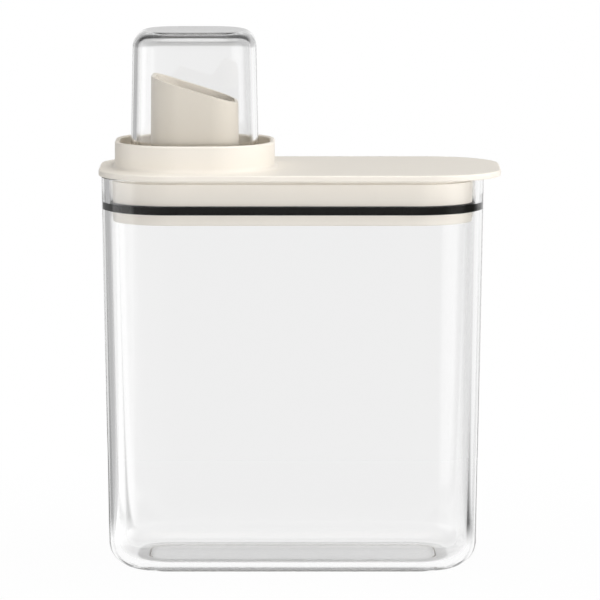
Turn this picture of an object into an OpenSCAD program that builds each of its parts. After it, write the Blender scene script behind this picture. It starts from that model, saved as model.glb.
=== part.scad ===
// Laundry detergent dispenser: a clear box with a plug lid, a slanted pouring spout and a measuring cup
// that covers the spout. Millimetres, +Z up, standing on Z = 0, with the thumb lip towards +X.

/* [Container] */
// Width of the box over its rim
container_w = 181; // [160:1:240]
// Depth of the box over its rim
container_d = 95.4; // [88:0.2:140]
// Height of the rim above the base
container_h = 187; // [90:1:260]
// Corner radius at the rim, seen from above
container_corner_r = 33; // [24:0.5:40]
// Wall thickness at the rim
container_wall = 3.6; // [2:0.1:4.5]
// Thickness of the floor
container_floor = 4.2; // [2.5:0.1:6]
// Draft of the outer walls, in degrees
container_draft = 1; // [0:0.1:1.5]
// Draft of the inner walls, in degrees
core_draft = 1.25; // [0:0.05:1.8]
// Radius of the bottom edge, outside
base_edge_r = 12.5; // [5:0.5:14]
// Radius of the bottom edge, inside
base_inner_r = 8.5; // [2:0.5:10]
// Width of the foot ring that the box stands on
foot_w = 6; // [3:0.5:8]
// Depth of the recess inside the foot ring
foot_recess = 0.8; // [0.3:0.1:1.2]
// Radius on the edges of the rim
rim_edge_r = 0.8; // [0.2:0.1:0.9]

/* [Lid] */
// Thickness of the flange
flange_t = 3; // [2:0.1:5]
// How far the flange stands out over the box's rim at the front, back and left
flange_overhang = 1.3; // [0.5:0.1:4]
// How much further the flange reaches at the right, as a lip for the thumb
thumb_lip = 6.8; // [0:0.2:14]
// Radius on the flange's top edge
flange_edge_r = 1; // [0.3:0.1:1.2]
// Radius on the flange's lower edge
flange_under_r = 0.6; // [0.2:0.1:0.7]
// Depth of the plug below the flange
plug_h = 21.2; // [17:0.2:30]
// Gap between the plug and the box's wall at the rim
plug_gap = 1.6; // [1:0.1:2.5]
// Thickness of the plug's skirt
plug_wall = 3.2; // [2.8:0.1:5]
// Draft of the plug, in degrees
plug_draft = 1; // [0:0.1:1.5]
// Radius on the plug's lower edges
plug_edge_r = 0.8; // [0.3:0.1:1.2]

/* [Gasket] */
// Height of the gasket
gasket_h = 4.1; // [3:0.1:6]
// From the flange's underside to the top of the gasket
gasket_drop = 11; // [3:0.2:11.4]
// Depth of the groove that the gasket sits in
groove_depth = 1.3; // [0.8:0.1:1.4]
// Depth of the valley between the gasket's two lips
lip_valley = 0.5; // [0.2:0.05:0.6]
// Gap between the gasket's lips and the box's wall
gasket_gap = 0.2; // [0.15:0.05:0.4]
// Gap between the gasket and the groove, behind it and above it
groove_gap = 0.1; // [0.05:0.01:0.2]
// Radius on the gasket's edges inside the groove
gasket_edge_r = 0.3; // [0.1:0.05:0.5]

/* [Collar] */
// Width of the collar round the cup's mouth
collar_w = 75.8; // [72:0.2:82]
// Height of the collar above the flange
collar_h = 12.6; // [8:0.2:20]
// Wall thickness of the collar
collar_wall = 2.4; // [2.1:0.1:3]
// Radius on the collar's top edges
collar_edge_r = 1; // [0.3:0.1:1]
// Radius of the fillet where the collar meets the flange
collar_fillet_r = 2; // [0.5:0.1:3]
// From the middle of the box to the middle of the collar, towards the left
collar_offset = 46.4; // [41:0.2:48]
// Length of the flat part of each side of the collar, the cup and the spout
ring_flat = 15; // [8:0.5:20]

/* [Spout] */
// Width of the spout where it leaves the flange
spout_w = 42; // [34:0.2:46]
// Wall thickness of the spout
spout_wall = 1.8; // [1.2:0.1:2.5]
// Height of the spout's tip above the flange
spout_tip_h = 43.8; // [34:0.2:50]
// Slope of the cut that forms the spout's mouth, in degrees
spout_slope = 17.3; // [0:0.1:25]
// Draft of the spout, in degrees
spout_draft = 0.5; // [0:0.1:1.5]

/* [Measuring cup] */
// Width of the cup over its mouth
cup_w = 61; // [58:0.2:64]
// Height of the cup
cup_h = 65; // [58:0.5:90]
// Wall thickness of the cup
cup_wall = 2.4; // [1.5:0.1:3]
// Thickness of the cup's bottom, which is uppermost here
cup_base = 2.6; // [1.5:0.1:4]
// Draft of the cup's walls, in degrees
cup_draft = 1.2; // [0:0.1:2]
// Radius of the cup's bottom edge, outside
cup_edge_r = 7.6; // [4:0.2:9]
// Radius of the cup's bottom edge, inside
cup_inner_r = 5.4; // [2:0.2:6]
// Radius on the edges of the cup's mouth
cup_mouth_r = 0.7; // [0.2:0.1:0.7]
// Height of the ring that holds the cup
seat_h = 6; // [3:0.2:8]
// Wall thickness of that ring
seat_wall = 1.8; // [1.2:0.1:2.4]
// Radius on the ring's top edges
seat_edge_r = 0.5; // [0.2:0.1:0.6]
// Gap between that ring and the cup's wall
seat_gap = 0.25; // [0.2:0.05:0.5]

/* [Hidden] */
$fn = 96;

clear_plastic = [0.86, 0.9, 0.92, 0.35];
cream_plastic = [0.91, 0.89, 0.85];
black_silicone = [0.09, 0.09, 0.08];

// How far a cutter reaches past what it cuts, and the same for a corner piece, as a share of its size
cut = 1;
tip_share = 0.05;

// The whole footprint is centred on X = 0, so the box's own middle lies half a thumb lip to the left
container_x = -thumb_lip / 2;
ring_x = container_x - collar_offset;

// Corner centres of the box, of the flange and of the rings round the spout
box_centre = [container_w / 2, container_d / 2] - [container_corner_r, container_corner_r];
flange_centre = box_centre + [thumb_lip / 2, 0];
flange_corner_r = container_corner_r + flange_overhang;
ring_centre = [ring_flat / 2, ring_flat / 2];

flange_top = container_h + flange_t;

// Everything that stands on the lid's plate or hangs from it is rooted in the plate's middle
plate_middle = container_h + flange_t / 2;

// Distance from the box's corner centre to the outer and the inner face of its wall, at a height z
function outer_wall(z) = container_corner_r - (container_h - z) * tan(container_draft);
function inner_wall(z) = container_corner_r - container_wall - (container_h - z) * tan(core_draft);

// The same for the plug's outer face
function plug_face(z) = container_corner_r - container_wall - plug_gap - (container_h - z) * tan(plug_draft);

// The same for the cup's outer and inner face, from the corner centre of the rings, z above the mouth
function cup_outer(z) = (cup_w - ring_flat) / 2 - z * tan(cup_draft);
function cup_inner(z) = cup_outer(z) - cup_wall;

// The same for the spout's outer face, z above the flange
function spout_face(z) = (spout_w - ring_flat) / 2 - z * tan(spout_draft);

groove_top = container_h - gasket_drop;
groove_bottom = groove_top - gasket_h - groove_gap;

// Unit vector from one point towards another
function toward(from, to) = (to - from) / norm(to - from);

// What an arc of radius r leaves of a corner: the piece between the arc and the corner's tip. Its tip
// reaches a little past the corner, so that no side of it lies along a side of the outline.
module corner_piece(corner, before, after, r) {
    a = toward(corner, before);
    b = toward(corner, after);
    half = acos(a * b) / 2;
    arc_middle = (a + b) / norm(a + b) * r / sin(half);
    translate(corner) difference() {
        polygon([a * r / tan(half), b * r / tan(half), -tip_share * arc_middle]);
        translate(arc_middle) circle(r);
    }
}

// Outline with true arcs at its corners. Each corner is [x, y, r], taken anticlockwise, where r is the
// radius of a corner that points outward, minus that of one that points inward, or 0 for a sharp one.
module rounded_outline(corners) {
    n = len(corners);
    point = [for (c = corners) [c.x, c.y]];
    module piece_at(i) {
        corner_piece(point[i], point[(i + n - 1) % n], point[(i + 1) % n], abs(corners[i].z));
    }
    difference() {
        polygon(point);
        for (i = [0:n - 1]) if (corners[i].z > 0) piece_at(i);
    }
    for (i = [0:n - 1]) if (corners[i].z < 0) piece_at(i);
}

// Carries a section round a rectangle with rounded corners. The section's x is measured outward from
// the corner centres, which lie at plus and minus centre.
module round_sweep(centre) {
    for (side = [0:3]) {
        along = side % 2 == 0 ? centre.x : centre.y;
        across = side % 2 == 0 ? centre.y : centre.x;
        rotate([0, 0, 90 * side]) {
            translate([along, across, 0]) rotate_extrude(angle = 90) children();
            translate([-along, across, 0]) rotate([90, 0, 90]) linear_extrude(2 * along) children();
        }
    }
}

// Slab between the corner centres, which closes the middle that a sweep leaves open
module middle_slab(centre, z_low, z_high) {
    translate([-centre.x, -centre.y, z_low]) cube([2 * centre.x, 2 * centre.y, z_high - z_low]);
}

module container() {
    foot_outer = outer_wall(0) - base_edge_r * (1 - sin(container_draft)) / cos(container_draft);
    foot_inner = foot_outer - foot_w;
    color(clear_plastic) translate([container_x, 0, 0]) {
        round_sweep(box_centre) rounded_outline([
            [0, foot_recess, 0],
            [foot_inner - foot_recess, foot_recess, 0],
            [foot_inner, 0, 0],
            [outer_wall(0), 0, base_edge_r],
            [outer_wall(container_h), container_h, rim_edge_r],
            [inner_wall(container_h), container_h, rim_edge_r],
            [inner_wall(container_floor), container_floor, -base_inner_r],
            [0, container_floor, 0]
        ]);
        middle_slab(box_centre, foot_recess, container_floor);
    }
}

module flange() {
    round_sweep(flange_centre) rounded_outline([
        [0, container_h, 0],
        [flange_corner_r, container_h, flange_under_r],
        [flange_corner_r, flange_top, flange_edge_r],
        [0, flange_top, 0]
    ]);
    middle_slab(flange_centre, container_h, flange_top);
}

// Skirt that plugs the box's mouth, with the groove for the gasket; it is rooted in the flange
module plug_skirt() {
    low = container_h - plug_h;
    groove_floor = plug_face(groove_top) - groove_depth;
    translate([container_x, 0, 0]) round_sweep(box_centre) difference() {
        rounded_outline([
            [plug_face(low) - plug_wall, low, plug_edge_r],
            [plug_face(low), low, plug_edge_r],
            [plug_face(plate_middle), plate_middle, 0],
            [plug_face(low) - plug_wall, plate_middle, 0]
        ]);
        translate([groove_floor, groove_bottom])
            square([groove_depth + plug_gap + cut, groove_top - groove_bottom]);
    }
}

// Raised wall round the cup's mouth, with a fillet at its foot
module collar() {
    outside = (collar_w - ring_flat) / 2;
    inside = outside - collar_wall;
    round_sweep(ring_centre) rounded_outline([
        [inside, plate_middle, 0],
        [outside + collar_fillet_r + cut, plate_middle, 0],
        [outside + collar_fillet_r + cut, flange_top, 0],
        [outside, flange_top, -collar_fillet_r],
        [outside, flange_top + collar_h, collar_edge_r],
        [inside, flange_top + collar_h, collar_edge_r]
    ]);
}

// Low ring that the cup's mouth slips over
module cup_seat() {
    foot = cup_inner(0) - seat_gap;
    top = cup_inner(seat_h) - seat_gap;
    round_sweep(ring_centre) rounded_outline([
        [foot - seat_wall, plate_middle, 0],
        [foot, plate_middle, 0],
        [foot, flange_top, 0],
        [top, flange_top + seat_h, seat_edge_r],
        [foot - seat_wall, flange_top + seat_h, seat_edge_r]
    ]);
}

// Solid with the spout's outside, or its bore, which is smaller all round by the wall
module spout_form(wall, z_low) {
    top = spout_tip_h + cut;
    round_sweep(ring_centre) polygon([
        [0, z_low],
        [spout_face(0) - wall, z_low],
        [spout_face(0) - wall, flange_top],
        [spout_face(top) - wall, flange_top + top],
        [0, flange_top + top]
    ]);
    middle_slab(ring_centre, z_low, flange_top + top);
}

// Everything above the slanted mouth of the spout, which falls towards the right
module above_mouth() {
    reach = 2 * spout_w;
    translate([-spout_w / 2, 0, flange_top + spout_tip_h]) rotate([0, spout_slope, 0])
        translate([-reach / 2, -reach / 2, 0]) cube([2 * reach, reach, reach]);
}

module lid() {
    color(cream_plastic) difference() {
        union() {
            flange();
            plug_skirt();
            translate([ring_x, 0, 0]) {
                collar();
                cup_seat();
                difference() {
                    spout_form(0, plate_middle);
                    above_mouth();
                }
            }
        }
        translate([ring_x, 0, 0]) spout_form(spout_wall, container_h - cut);
    }
}

module gasket() {
    back = plug_face(groove_top) - groove_depth + groove_gap;
    front = inner_wall(groove_bottom) - gasket_gap;
    top = groove_bottom + gasket_h;
    middle = groove_bottom + gasket_h / 2;
    lip_r = gasket_h / 5;
    color(black_silicone) translate([container_x, 0, 0]) round_sweep(box_centre) rounded_outline([
        [back, groove_bottom, gasket_edge_r],
        [front, groove_bottom, lip_r],
        [front, middle - lip_r, 0],
        [front - lip_valley, middle, 0],
        [front, middle + lip_r, 0],
        [front, top, lip_r],
        [back, top, gasket_edge_r]
    ]);
}

module measuring_cup() {
    under_base = cup_h - cup_base;
    color(clear_plastic) translate([ring_x, 0, flange_top]) {
        round_sweep(ring_centre) rounded_outline([
            [cup_outer(0), 0, cup_mouth_r],
            [cup_outer(cup_h), cup_h, cup_edge_r],
            [0, cup_h, 0],
            [0, under_base, 0],
            [cup_inner(under_base), under_base, -cup_inner_r],
            [cup_inner(0), 0, cup_mouth_r]
        ]);
        middle_slab(ring_centre, under_base, cup_h);
    }
}

container();
lid();
gasket();
measuring_cup();
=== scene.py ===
import math

import bmesh
import bpy
from mathutils import Matrix, Vector


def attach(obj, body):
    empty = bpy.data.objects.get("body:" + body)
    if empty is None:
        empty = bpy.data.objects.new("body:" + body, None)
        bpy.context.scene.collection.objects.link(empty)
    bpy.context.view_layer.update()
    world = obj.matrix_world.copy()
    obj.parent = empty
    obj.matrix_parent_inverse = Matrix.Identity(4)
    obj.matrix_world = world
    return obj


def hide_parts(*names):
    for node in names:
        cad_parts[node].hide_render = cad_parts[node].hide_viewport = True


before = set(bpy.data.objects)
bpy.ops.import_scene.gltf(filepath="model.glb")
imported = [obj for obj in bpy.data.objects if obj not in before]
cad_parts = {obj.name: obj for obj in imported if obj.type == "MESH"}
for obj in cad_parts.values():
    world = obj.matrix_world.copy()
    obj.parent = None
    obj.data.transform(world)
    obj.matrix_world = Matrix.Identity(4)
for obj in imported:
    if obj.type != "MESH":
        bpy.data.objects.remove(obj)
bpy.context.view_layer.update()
scene = bpy.context.scene
scene.view_settings.view_transform = "Standard"

# Camera
# A long lens 2.6 m in front of the box and a little above it, tilted down.
CAMERA_AT = (0.0001, -2.6457, 0.4451)  # metres
CAMERA_TILT = math.radians(6.884)
LENS, SENSOR = 335.2, 36  # millimetres

camera = bpy.data.objects.new("camera", bpy.data.cameras.new("camera"))
camera.data.lens = LENS
camera.data.sensor_width = SENSOR
camera.location = CAMERA_AT
camera.rotation_euler = (math.pi / 2 - CAMERA_TILT, 0, 0)
scene.collection.objects.link(camera)
scene.camera = camera

# Thick clear walls bend and reflect a ray many times before it leaves them
BOUNCES = 24
scene.cycles.max_bounces = BOUNCES
scene.cycles.transmission_bounces = BOUNCES
scene.cycles.glossy_bounces = BOUNCES

# Clear box
# An open box of clear styrene acrylonitrile, injection moulded in one shot:
# drafted walls of 3.6 to 4.3 mm, a large bottom edge and a low foot ring.
MM = 0.001  # sizes are in millimetres, and meshes in metres
MERGE = 2e-6  # metres, below which two points of a piece are one
CRISP_FROM = math.radians(25)  # edges that turn further than this stay crisp
BOX_MIDDLE = -3.4  # X of the box, whose lid reaches out further on the right
BOX_CENTRE = (57.5, 14.7)  # corner centres, from the box's middle
BOX_HEIGHT = 187
BOX_CORNER_R = 33
BOX_WALL, BOX_FLOOR = 3.6, 4.2
BOX_DRAFT, CORE_DRAFT = math.tan(math.radians(1)), math.tan(math.radians(1.25))
BASE_EDGE_R, BASE_INNER_R = 12.5, 8.5
FOOT_W, FOOT_RECESS = 6, 0.8
RIM_EDGE_R = 0.8
WAVE_LENGTH, WAVE_HEIGHT = 38.5, 0.4  # faint waves in the moulded walls
FLAT_R = 1  # where a line ends on a flat face, short of the corner centres


def rounded(corners, step=7.5):
    """Turns [(r, z, radius)] into a line of points, with an arc at each corner that has a radius."""
    points = []
    for i, (x, z, radius) in enumerate(corners):
        here = Vector((x, z))
        if not radius:
            points.append(here)
            continue
        back = (Vector(corners[i - 1][:2]) - here).normalized()
        ahead = (Vector(corners[(i + 1) % len(corners)][:2]) - here).normalized()
        half = back.angle(ahead) / 2
        middle = here + (back + ahead).normalized() * radius / math.sin(half)
        start = here + back * radius / math.tan(half) - middle
        turn = start.angle_signed(here + ahead * radius / math.tan(half) - middle)
        pieces = max(2, math.ceil(abs(math.degrees(turn)) / step))
        for k in range(pieces + 1):
            points.append(middle + Matrix.Rotation(-turn * k / pieces, 2) @ start)
    return points


def sweep(bm, line, centre, middle, closed=False, steps=28):
    """Carries a line of (r, z) round a rounded rectangle. r is measured from the corner centres."""
    cx, cy = centre[0] * MM, centre[1] * MM
    verts = [bm.verts.new((middle * MM + cx + p[0] * MM, cy, p[1] * MM)) for p in line]
    edges = [bm.edges.new(pair) for pair in zip(verts, verts[1:])]
    if closed:
        edges.append(bm.edges.new((verts[-1], verts[0])))
    for turn in range(4):
        sign_x, sign_y = ((1, 1), (-1, 1), (-1, -1), (1, -1))[turn]
        spun = bmesh.ops.spin(
            bm,
            geom=verts + edges,
            cent=(middle * MM + sign_x * cx, sign_y * cy, 0),
            axis=(0, 0, 1),
            angle=math.pi / 2,
            steps=steps,
        )["geom_last"]
        edges = [g for g in spun if isinstance(g, bmesh.types.BMEdge)]
        out = bmesh.ops.extrude_edge_only(bm, edges=edges)["geom"]
        verts = [g for g in out if isinstance(g, bmesh.types.BMVert)]
        edges = [g for g in out if isinstance(g, bmesh.types.BMEdge) and all(v in verts for v in g.verts)]
        along = Vector((0, 0, 0))
        along[turn % 2] = -2 * (cx, cy)[turn % 2] * (sign_x, sign_y)[turn % 2]
        bmesh.ops.translate(bm, verts=verts, vec=along)
    bmesh.ops.remove_doubles(bm, verts=bm.verts[:], dist=MERGE)


def open_loops(bm, z):
    """The free edges of a shape at one height, as loops, the smallest first."""
    free = {e for e in bm.edges if e.is_boundary and all(abs(v.co.z - z * MM) < MERGE for v in e.verts)}
    loops = []
    while free:
        loop, ahead = [], [free.pop()]
        while ahead:
            loop.append(ahead.pop())
            nearby = {e for v in loop[-1].verts for e in v.link_edges} & free
            free -= nearby
            ahead += nearby
        loops.append(loop)
    return sorted(loops, key=lambda loop: max(abs(v.co.y) for e in loop for v in e.verts))


def fill_flat(bm, loops):
    """Closes one loop, or the flat ring between two."""
    edges = [e for loop in loops for e in loop]
    if len(loops) == 1:
        bmesh.ops.contextual_create(bm, geom=edges)
    else:
        bmesh.ops.triangle_fill(bm, edges=edges, use_beauty=True)


def finish_piece(bm, name, body, material):
    """Makes the piece's object: closed, smooth over its arcs and crisp at its real corners."""
    bmesh.ops.recalc_face_normals(bm, faces=bm.faces[:])
    mesh = bpy.data.meshes.new(name)
    bm.to_mesh(mesh)
    bm.free()
    mesh.shade_smooth()
    mesh.set_sharp_from_angle(angle=CRISP_FROM)
    mesh.materials.append(material)
    piece = bpy.data.objects.new(name, mesh)
    scene.collection.objects.link(piece)
    weighted = piece.modifiers.new("flat faces stay flat", "WEIGHTED_NORMAL")
    weighted.keep_sharp = True
    weighted.weight = 100
    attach(piece, body)
    return piece


def hex_colour(text):
    """A colour written as sRGB hex, as Blender's linear red, green, blue and alpha."""
    parts = [int(text[i : i + 2], 16) / 255 for i in (1, 3, 5)]
    return [c / 12.92 if c <= 0.04045 else ((c + 0.055) / 1.055) ** 2.4 for c in parts] + [1]


def add_node(tree, kind, inputs=None, **settings):
    """Adds a node with its settings, and links or sets its inputs."""
    node = tree.nodes.new(kind)
    for name, value in settings.items():
        setattr(node, name, value)
    for socket, value in (inputs or {}).items():
        if isinstance(value, bpy.types.NodeSocket):
            tree.links.new(value, node.inputs[socket])
        else:
            node.inputs[socket].default_value = value
    return node


def new_material(name):
    """An empty node material and its tree."""
    material = bpy.data.materials.new(name)
    material.use_nodes = True
    material.node_tree.nodes.clear()
    return material, material.node_tree


def outer_wall(z):
    """How far the box's outer face lies from the corner centres at a height."""
    return BOX_CORNER_R - (BOX_HEIGHT - z) * BOX_DRAFT


def inner_wall(z):
    """The same for the inner face."""
    return BOX_CORNER_R - BOX_WALL - (BOX_HEIGHT - z) * CORE_DRAFT


foot_outer = outer_wall(0) - BASE_EDGE_R
foot_inner = foot_outer - FOOT_W

bm = bmesh.new()
sweep(
    bm,
    rounded(
        [
            (FLAT_R, FOOT_RECESS, 0),
            (foot_inner - FOOT_RECESS, FOOT_RECESS, 0),
            (foot_inner, 0, 0),
            (outer_wall(0), 0, BASE_EDGE_R),
            (outer_wall(BOX_HEIGHT), BOX_HEIGHT, RIM_EDGE_R),
            (inner_wall(BOX_HEIGHT), BOX_HEIGHT, RIM_EDGE_R),
            (inner_wall(BOX_FLOOR), BOX_FLOOR, BASE_INNER_R),
            (FLAT_R, BOX_FLOOR, 0),
        ]
    ),
    BOX_CENTRE,
    BOX_MIDDLE,
)
fill_flat(bm, open_loops(bm, FOOT_RECESS))
fill_flat(bm, open_loops(bm, BOX_FLOOR))


def clear_san(name, shadow):
    """Clear SAN, polished in the mould: hardly any roughness, and faint waves where it cooled."""
    material, tree = new_material(name)
    coords = add_node(tree, "ShaderNodeTexCoord").outputs["Object"]
    waves = add_node(
        tree,
        "ShaderNodeTexNoise",
        {"Vector": coords, "Scale": 1 / (WAVE_LENGTH * MM), "Detail": 1.0},
    )
    haze = add_node(
        tree,
        "ShaderNodeMapRange",
        {"Value": waves.outputs["Fac"], "To Min": 0.0, "To Max": 0.02},
    )
    wave_bump = add_node(
        tree,
        "ShaderNodeBump",
        {"Height": waves.outputs["Fac"], "Strength": 0.05, "Distance": WAVE_HEIGHT * MM},
    )
    plastic = add_node(
        tree,
        "ShaderNodeBsdfPrincipled",
        {
            "Base Color": hex_colour("#FEFEFE"),
            "Roughness": haze.outputs["Result"],
            "IOR": 1.5,
            "Transmission Weight": 1.0,
            "Normal": wave_bump.outputs["Normal"],
        },
    )
    # It casts a pale shadow and lets light straight through to what stands behind it
    path = add_node(tree, "ShaderNodeLightPath").outputs
    light_ray = add_node(
        tree,
        "ShaderNodeMath",
        {0: path["Is Shadow Ray"], 1: path["Is Diffuse Ray"]},
        operation="MAXIMUM",
    )
    pale_shadow = add_node(tree, "ShaderNodeBsdfTransparent", {"Color": hex_colour(shadow)})
    clear = add_node(
        tree,
        "ShaderNodeMixShader",
        {0: light_ray.outputs[0], 1: plastic.outputs["BSDF"], 2: pale_shadow.outputs["BSDF"]},
    )
    add_node(tree, "ShaderNodeOutputMaterial", {"Surface": clear.outputs["Shader"]})
    return material


box = finish_piece(bm, "clear_box", "container", clear_san("san_box", "#FDFDFD"))
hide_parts("container")

# Cream lid
# One moulding of ABS: a flange plate with a thumb lip, a plug skirt with the
# gasket's groove, and on top the collar, the cup's seat ring and the spout.
FLANGE_T, FLANGE_CORNER_R = 3, 34.3
FLANGE_CENTRE = (60.9, 14.7)
FLANGE_EDGE_R, FLANGE_UNDER_R = 1, 0.6
FLANGE_TOP = BOX_HEIGHT + FLANGE_T
PLUG_H, PLUG_GAP, PLUG_WALL, PLUG_EDGE_R = 21.2, 1.6, 3.2, 0.8
GROOVE_TOP, GROOVE_BOTTOM, GROOVE_DEPTH = 175.1, 170.9, 1.3
RELIEF_BOTTOM, RELIEF_DEPTH = 185.2, 1.8  # a shadow line where the plug meets the flange
RING_MIDDLE = -49.8
RING_CENTRE = (7.5, 7.5)
COLLAR_OUT, COLLAR_WALL, COLLAR_H = 30.4, 2.4, 12.6
COLLAR_FILLET_R, COLLAR_EDGE_R = 2, 1
SEAT_H, SEAT_WALL, SEAT_GAP, SEAT_EDGE_R = 6, 1.8, 0.25, 0.5
CUP_OUT, CUP_WALL, CUP_DRAFT = 23, 2.4, math.tan(math.radians(1.2))
SPOUT_OUT, SPOUT_WALL, SPOUT_DRAFT = 13.5, 1.8, math.tan(math.radians(0.5))
SPOUT_TIP, SPOUT_SLOPE = 43.8, math.tan(math.radians(17.3))
SPOUT_EDGE_R = 0.35
SPOUT_RAW, MOUTH_ABOVE = 50, 20  # the spout's height before its cut, and what the mouth lies above
MOUTH_TURN = math.radians(40)  # edges of the mouth turn further than the tube's own columns
PLATE_MARGIN = 0.5  # flat ground between an edge or fillet and the plate's fill
TONE_PATCH = 55.5  # clouds in the colour
GRAIN, GRAIN_DEPTH = 0.455, 0.05  # the spark-eroded texture


def plug_face(z):
    """How far the plug's outer face lies from the corner centres at a height."""
    return BOX_CORNER_R - BOX_WALL - PLUG_GAP - (BOX_HEIGHT - z) * BOX_DRAFT


seat_foot = CUP_OUT - CUP_WALL - SEAT_GAP
seat_top = seat_foot - SEAT_H * CUP_DRAFT
collar_in = COLLAR_OUT - COLLAR_WALL
bore_r = SPOUT_OUT - SPOUT_WALL
plug_low = BOX_HEIGHT - PLUG_H
skirt_in = plug_face(plug_low) - PLUG_WALL
groove_floor = plug_face(GROOVE_TOP) - GROOVE_DEPTH

bm = bmesh.new()
sweep(
    bm,
    rounded(
        [
            (COLLAR_OUT + COLLAR_FILLET_R + PLATE_MARGIN, FLANGE_TOP, 0),
            (COLLAR_OUT, FLANGE_TOP, COLLAR_FILLET_R),
            (COLLAR_OUT, FLANGE_TOP + COLLAR_H, COLLAR_EDGE_R),
            (collar_in, FLANGE_TOP + COLLAR_H, COLLAR_EDGE_R),
            (collar_in, FLANGE_TOP, 0),
            (seat_foot, FLANGE_TOP, 0),
            (seat_top, FLANGE_TOP + SEAT_H, SEAT_EDGE_R),
            (seat_foot - SEAT_WALL, FLANGE_TOP + SEAT_H, SEAT_EDGE_R),
            (seat_foot - SEAT_WALL, FLANGE_TOP, 0),
            (SPOUT_OUT, FLANGE_TOP, 0),
            (SPOUT_OUT - SPOUT_RAW * SPOUT_DRAFT, FLANGE_TOP + SPOUT_RAW, 0),
            (bore_r - SPOUT_RAW * SPOUT_DRAFT, FLANGE_TOP + SPOUT_RAW, 0),
            (bore_r, FLANGE_TOP, 0),
            (bore_r, BOX_HEIGHT, 0),
        ]
    ),
    RING_CENTRE,
    RING_MIDDLE,
)
# The spout's mouth slants down to the right: each column of its wall is drawn back to the cut
tip_left = (RING_MIDDLE - RING_CENTRE[0] - SPOUT_OUT) * MM
columns = [
    (e.verts[0], e.verts[1]) if e.verts[0].co.z < e.verts[1].co.z else (e.verts[1], e.verts[0])
    for e in bm.edges
    if abs(e.verts[0].co.z - e.verts[1].co.z) > 0.9 * SPOUT_RAW * MM
]
for foot, head in columns:
    cut = (FLANGE_TOP + SPOUT_TIP) * MM - (head.co.x - tip_left) * SPOUT_SLOPE
    head.co = foot.co.lerp(head.co, (cut - foot.co.z) / (head.co.z - foot.co.z))
mouth = [
    e
    for e in bm.edges
    if all(v.co.z > (FLANGE_TOP + MOUTH_ABOVE) * MM for v in e.verts)
    and e.calc_face_angle(0) > MOUTH_TURN
]
bmesh.ops.bevel(
    bm,
    geom=mouth,
    offset=SPOUT_EDGE_R * MM,
    affect="EDGES",
    segments=3,
    profile=0.5,
    material=-1,
)
sweep(
    bm,
    rounded(
        [
            (skirt_in, BOX_HEIGHT, 0),
            (skirt_in, plug_low, PLUG_EDGE_R),
            (plug_face(plug_low), plug_low, PLUG_EDGE_R),
            (plug_face(GROOVE_BOTTOM), GROOVE_BOTTOM, 0),
            (groove_floor, GROOVE_BOTTOM, 0),
            (groove_floor, GROOVE_TOP, 0),
            (plug_face(GROOVE_TOP), GROOVE_TOP, 0),
            (plug_face(RELIEF_BOTTOM), RELIEF_BOTTOM, 0),
            (plug_face(RELIEF_BOTTOM) - RELIEF_DEPTH, RELIEF_BOTTOM, 0),
            (plug_face(BOX_HEIGHT) - RELIEF_DEPTH, BOX_HEIGHT, 0),
        ]
    ),
    BOX_CENTRE,
    BOX_MIDDLE,
)
sweep(
    bm,
    rounded(
        [
            (plug_face(BOX_HEIGHT), BOX_HEIGHT, 0),
            (FLANGE_CORNER_R, BOX_HEIGHT, FLANGE_UNDER_R),
            (FLANGE_CORNER_R, FLANGE_TOP, FLANGE_EDGE_R),
            (FLANGE_CORNER_R - FLANGE_EDGE_R - PLATE_MARGIN, FLANGE_TOP, 0),
        ]
    ),
    FLANGE_CENTRE,
    0,
)
# The plate's flat faces close what the three sweeps leave open: the top round the collar, and
# below it the ring from the spout's bore to the skirt and the ring from the skirt to the edge
fill_flat(bm, open_loops(bm, FLANGE_TOP))
bore, skirt_inside, skirt_outside, edge = open_loops(bm, BOX_HEIGHT)
fill_flat(bm, [bore, skirt_inside])
fill_flat(bm, [skirt_outside, edge])

# ABS with a fine spark-eroded texture: satin, warm off-white, nearly even in colour
cream_abs, tree = new_material("cream_abs")
coords = add_node(tree, "ShaderNodeTexCoord").outputs["Object"]
tone = add_node(
    tree,
    "ShaderNodeTexNoise",
    {"Vector": coords, "Scale": 1 / (TONE_PATCH * MM), "Detail": 2.0},
)
colour = add_node(
    tree,
    "ShaderNodeMix",
    {"Factor": tone.outputs["Fac"], 6: hex_colour("#EEE8DE"), 7: hex_colour("#EAE4DA")},
    data_type="RGBA",
)
grain = add_node(
    tree,
    "ShaderNodeTexNoise",
    {"Vector": coords, "Scale": 1 / (GRAIN * MM), "Detail": 2.0},
)
sheen = add_node(
    tree,
    "ShaderNodeMapRange",
    {"Value": grain.outputs["Fac"], "To Min": 0.38, "To Max": 0.5},
)
grain_bump = add_node(
    tree,
    "ShaderNodeBump",
    {"Height": grain.outputs["Fac"], "Strength": 0.12, "Distance": GRAIN_DEPTH * MM},
)
plastic = add_node(
    tree,
    "ShaderNodeBsdfPrincipled",
    {
        "Base Color": colour.outputs["Result"],
        "Roughness": sheen.outputs["Result"],
        "IOR": 1.5,
        "Normal": grain_bump.outputs["Normal"],
    },
)
add_node(tree, "ShaderNodeOutputMaterial", {"Surface": plastic.outputs["BSDF"]})

lid = finish_piece(bm, "cream_lid", "lid", cream_abs)
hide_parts("lid")

# Gasket
# A moulded ring of black silicone, stretched into the plug's groove. The box's
# wall presses its face flat.
GASKET_H, GASKET_PRESS, GROOVE_GAP = 4.1, 0.04, 0.1
GASKET_EDGE_R, GASKET_FACE_R = 0.3, 0.5
DUST = 1.11  # patches in the silicone's dusty surface

gasket_back = groove_floor + GROOVE_GAP
gasket_top = GROOVE_BOTTOM + GASKET_H

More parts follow.
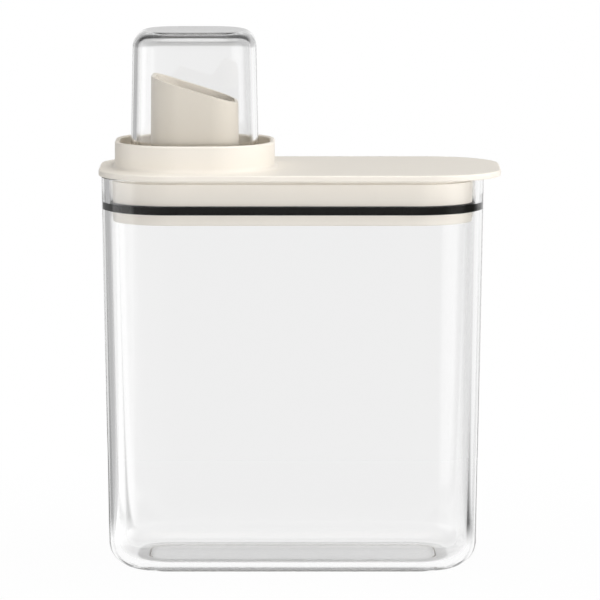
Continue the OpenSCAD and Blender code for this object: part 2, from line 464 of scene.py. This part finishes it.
bm = bmesh.new()
sweep(
    bm,
    rounded(
        [
            (gasket_back, GROOVE_BOTTOM, GASKET_EDGE_R),
            (inner_wall(GROOVE_BOTTOM) + GASKET_PRESS, GROOVE_BOTTOM, GASKET_FACE_R),
            (inner_wall(gasket_top) + GASKET_PRESS, gasket_top, GASKET_FACE_R),
            (gasket_back, gasket_top, GASKET_EDGE_R),
        ],
        step=18,
    ),
    BOX_CENTRE,
    BOX_MIDDLE,
    closed=True,
)

# Black silicone: a soft, slightly dusty surface with a wide dull highlight
black_silicone, tree = new_material("black_silicone")
coords = add_node(tree, "ShaderNodeTexCoord").outputs["Object"]
dust = add_node(
    tree,
    "ShaderNodeTexNoise",
    {"Vector": coords, "Scale": 1 / (DUST * MM), "Detail": 3.0},
)
dull = add_node(
    tree,
    "ShaderNodeMapRange",
    {"Value": dust.outputs["Fac"], "To Min": 0.42, "To Max": 0.58},
)
colour = add_node(
    tree,
    "ShaderNodeMix",
    {"Factor": dust.outputs["Fac"], 6: hex_colour("#0A0A08"), 7: hex_colour("#12120F")},
    data_type="RGBA",
)
rubber = add_node(
    tree,
    "ShaderNodeBsdfPrincipled",
    {
        "Base Color": colour.outputs["Result"],
        "Roughness": dull.outputs["Result"],
        "IOR": 1.41,
        "Specular IOR Level": 0.15,
    },
)
add_node(tree, "ShaderNodeOutputMaterial", {"Surface": rubber.outputs["BSDF"]})

gasket = finish_piece(bm, "gasket_ring", "lid", black_silicone)
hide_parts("gasket")

# Measuring cup
# A clear cup, injection moulded in one shot, that stands upside down over the
# spout, with its mouth round the lid's seat ring.
CUP_H, CUP_BASE = 65, 2.6
CUP_EDGE_R, CUP_INNER_R, CUP_MOUTH_R = 7.6, 5.4, 0.7


def cup_outer(z):
    """How far the cup's outer face lies from the corner centres, at a height above its mouth."""
    return CUP_OUT - z * CUP_DRAFT


under_base = CUP_H - CUP_BASE
bm = bmesh.new()
sweep(
    bm,
    rounded(
        [
            (FLAT_R, FLANGE_TOP + under_base, 0),
            (cup_outer(under_base) - CUP_WALL, FLANGE_TOP + under_base, CUP_INNER_R),
            (cup_outer(0) - CUP_WALL, FLANGE_TOP, CUP_MOUTH_R),
            (cup_outer(0), FLANGE_TOP, CUP_MOUTH_R),
            (cup_outer(CUP_H), FLANGE_TOP + CUP_H, CUP_EDGE_R),
            (FLAT_R, FLANGE_TOP + CUP_H, 0),
        ]
    ),
    RING_CENTRE,
    RING_MIDDLE,
)
fill_flat(bm, open_loops(bm, FLANGE_TOP + under_base))
fill_flat(bm, open_loops(bm, FLANGE_TOP + CUP_H))
cup = finish_piece(bm, "measuring_cup_clear", "cup", clear_san("san_cup", "#F4F3F1"))
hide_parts("measuring_cup")

# Floor, backdrop and light
# A sheet of white paper lies under the box, and softbox lamps at both sides, above and in front light it,
# hidden in reflections. White paper behind it and a grey flag on the left are only levels in the world's
# light, and far from the box the paper's glow repeats them as a painted reflection.
FLOOR_SIZE = 12  # metres
# Levels round the box, as the world's light and as a painted reflection in the floor's glow far from the
# box: degrees from straight behind it, right positive, and how light it is
ROUND_THE_BOX = (
    (-118, 0.5),
    (-112, 1.7),
    (-72, 1.7),
    (-66, 0.6),
    (-40, 0.45),
    (-25, 0.4),
    (-21, 0.98),
    (0, 0.98),
    (48, 1.0),
    (58, 0.4),
    (66, 0.06),
    (86, 0.06),
    (96, 0.42),
    (116, 0.42),
    (128, 0.12),
    (150, 0.12),
    (180, 0.22),
)
# The same levels for rays through the clear walls, lighter on every open side as if white paper stood
# there, and painted into the floor's glow in the same way
THROUGH_THE_WALLS = (
    (-122, 0.85),
    (-112, 1.8),
    (-72, 1.75),
    (-66, 0.65),
    (-40, 0.45),
    (-25, 0.4),
    (-21, 0.93),
    (0, 0.91),
    (48, 1.0),
    (58, 0.42),
    (66, 0.08),
    (78, 0.08),
    (86, 0.6),
    (110, 0.85),
    (180, 0.85),
)
# From the horizon up: the height of a direction as its sine, and a share of the ring
UP_THE_BACKDROP = ((0.02, 1.0), (0.07, 0.68), (0.24, 0.6), (0.4, 0.12))
OVERHEAD, OVERHEAD_EDGE = 0.88, 0.02  # sine of the height where the white ceiling begins
FLOOR_GAP = 0.1  # millimetres between the foot ring and the paper
LAMPS_AIM = 0.12  # metres above the floor
# Where the paper's glow turns into the painted reflection of the ring
RING_FROM, RING_FULL = 70, 120  # millimetres from the corner centres, where the ring takes over
# Painted contact shade: under the foot ring the paper's glow is turned down, so there it shows mostly its
# matte part in the box's real shadow. Distances from the box's corner centres, in millimetres, and the
# share of glow
PAINTED_CONTACT_SHADE = ((8.5, 0.6), (9.5, 0.15), (16.5, 0.15), (17.5, 0.97), (300, 1.0))


def turntable(tree, coords, ring):
    """The level round the box in the direction of some coordinates."""
    turn = add_node(tree, "ShaderNodeTexGradient", {"Vector": coords}, gradient_type="RADIAL")
    stops = [((0.75 - degrees / 360) % 1, level) for degrees, level in ring]
    return level_ramp(tree, turn.outputs["Fac"], stops)


def surroundings(tree, coords):
    """The ring, as a surface reflects it or as a clear wall lets it through: light in the world, and a
    painted reflection in the floor's glow.
    """
    through = add_node(tree, "ShaderNodeLightPath").outputs["Is Transmission Ray"]
    return add_node(
        tree,
        "ShaderNodeMix",
        {
            "Factor": through,
            6: turntable(tree, coords, ROUND_THE_BOX),
            7: turntable(tree, coords, THROUGH_THE_WALLS),
        },
        data_type="RGBA",
    ).outputs["Result"]


def level_ramp(tree, value, stops):
    """A ramp of grey levels from its stops, sorted by place."""
    node = add_node(tree, "ShaderNodeValToRGB", {0: value})
    elements = node.color_ramp.elements
    for i, (place, level) in enumerate(sorted(stops)):
        element = elements[i] if i < 2 else elements.new(place)
        element.position, element.color = place, (level, level, level, 1)
    return node.outputs["Color"]


bm = bmesh.new()
bmesh.ops.create_grid(bm, x_segments=1, y_segments=1, size=FLOOR_SIZE / 2)
mesh = bpy.data.meshes.new("floor")
bm.to_mesh(mesh)
bm.free()
floor = bpy.data.objects.new("floor", mesh)
floor.location.z = -FLOOR_GAP * MM
scene.collection.objects.link(floor)

# Paper that glows white to the camera and in the clear walls. It keeps a soft shadow near the box through
# its matte part, with a painted contact shade under the foot ring. Far from the box its glow, seen in the
# clear walls and glossy faces, is a painted reflection of the levels round the box.
white_paper, tree = new_material("white_paper")
path = add_node(tree, "ShaderNodeLightPath").outputs
place = add_node(tree, "ShaderNodeTexCoord").outputs["Object"]
middle = (BOX_MIDDLE * MM, 0, 0)
corner = (BOX_CENTRE[0] * MM, BOX_CENTRE[1] * MM, 1)
beside = add_node(tree, "ShaderNodeVectorMath", {0: place, 1: middle}, operation="SUBTRACT").outputs[0]
core = add_node(tree, "ShaderNodeVectorMath", {0: beside, 1: corner}, operation="MINIMUM").outputs[0]
core = add_node(
    tree,
    "ShaderNodeVectorMath",
    {0: core, 1: tuple(-c for c in corner)},
    operation="MAXIMUM",
).outputs[0]
beside = add_node(tree, "ShaderNodeVectorMath", {0: beside, 1: core}, operation="SUBTRACT").outputs[0]
away = add_node(tree, "ShaderNodeVectorMath", {0: beside}, operation="LENGTH").outputs["Value"]
# Painted contact shade: the glow's share falls to a low level under the foot ring
contact_shade_place = add_node(
    tree,
    "ShaderNodeMath",
    {0: away, 1: 1 / (PAINTED_CONTACT_SHADE[-1][0] * MM)},
    operation="MULTIPLY",
).outputs[0]
share = level_ramp(tree, contact_shade_place, [(r / PAINTED_CONTACT_SHADE[-1][0], level) for r, level in PAINTED_CONTACT_SHADE])
looked_at = add_node(
    tree,
    "ShaderNodeMath",
    {0: path["Is Camera Ray"], 1: path["Is Glossy Ray"]},
    operation="MAXIMUM",
)
looked_at = add_node(
    tree,
    "ShaderNodeMath",
    {0: looked_at.outputs[0], 1: path["Is Transmission Ray"]},
    operation="MAXIMUM",
)
share = add_node(
    tree,
    "ShaderNodeMath",
    {0: looked_at.outputs[0], 1: share},
    operation="MULTIPLY",
)
# Painted reflection: far from the box, for all but camera rays, the paper glows with the levels round the
# box
painted_reflection_share = add_node(
    tree,
    "ShaderNodeMapRange",
    {"Value": away, "From Min": RING_FROM * MM, "From Max": RING_FULL * MM},
)
painted_reflection_share = add_node(
    tree,
    "ShaderNodeMath",
    {0: painted_reflection_share.outputs["Result"], 1: path["Is Camera Ray"]},
    operation="SUBTRACT",
    use_clamp=True,
)
colour = add_node(
    tree,
    "ShaderNodeMix",
    {"Factor": painted_reflection_share.outputs[0], 6: (1, 1, 1, 1), 7: surroundings(tree, beside)},
    data_type="RGBA",
)
matte = add_node(tree, "ShaderNodeBsdfDiffuse", {"Color": hex_colour("#E0E0E0")})
glow = add_node(tree, "ShaderNodeEmission", {"Color": colour.outputs["Result"], "Strength": 1.0})
paper = add_node(
    tree,
    "ShaderNodeMixShader",
    {0: share.outputs[0], 1: matte.outputs[0], 2: glow.outputs[0]},
)
add_node(tree, "ShaderNodeOutputMaterial", {"Surface": paper.outputs[0]})
mesh.materials.append(white_paper)

world = bpy.data.worlds.new("studio")
world.use_nodes = True
scene.world = world
tree = world.node_tree
tree.nodes.clear()
path = add_node(tree, "ShaderNodeLightPath").outputs
direction = add_node(tree, "ShaderNodeTexCoord").outputs["Generated"]
height = add_node(tree, "ShaderNodeSeparateXYZ", {0: direction}).outputs["Z"]
colour = add_node(
    tree,
    "ShaderNodeMix",
    {"Factor": 1.0, 6: surroundings(tree, direction), 7: level_ramp(tree, height, UP_THE_BACKDROP)},
    data_type="RGBA",
    blend_type="MULTIPLY",
)
overhead = add_node(
    tree,
    "ShaderNodeMapRange",
    {"Value": height, "From Min": OVERHEAD, "From Max": OVERHEAD + OVERHEAD_EDGE},
)
plain = add_node(
    tree,
    "ShaderNodeMath",
    {0: overhead.outputs["Result"], 1: path["Is Camera Ray"]},
    operation="MAXIMUM",
)
colour = add_node(
    tree,
    "ShaderNodeMix",
    {"Factor": plain.outputs[0], 6: colour.outputs["Result"], 7: (1, 1, 1, 1)},
    data_type="RGBA",
)
backdrop = add_node(tree, "ShaderNodeBackground", {"Color": colour.outputs["Result"], "Strength": 1.0})
add_node(tree, "ShaderNodeOutputWorld", {"Surface": backdrop.outputs[0]})


def softbox(name, azimuth, distance, height, size, radiance):
    """A lamp round the box, which only lights it. Azimuth 0 is at the camera, 90 at the right."""
    data = bpy.data.lights.new(name, "AREA")
    data.shape = "RECTANGLE"
    data.size, data.size_y = size
    data.energy = radiance * math.pi * size[0] * size[1]
    lamp = bpy.data.objects.new(name, data)
    turn = math.radians(azimuth)
    lamp.location = (distance * math.sin(turn), -distance * math.cos(turn), height)
    aim = Vector((0, 0, LAMPS_AIM)) - lamp.location
    lamp.rotation_euler = aim.to_track_quat("-Z", "Y").to_euler()
    lamp.visible_glossy = lamp.visible_transmission = False
    lamp.visible_camera = False
    scene.collection.objects.link(lamp)


softbox("softbox_left", -87, 1.2, 0.2, (0.8, 0.5), 1.6)
softbox("softbox_right", 82, 1.2, 0.2, (0.7, 0.5), 5.2)
softbox("softbox_top", 50, 0.3, 1.3, (1.2, 0.8), 3.6)
softbox("front_fill", 18, 2.2, 0.2, (1.8, 0.5), 10.2)
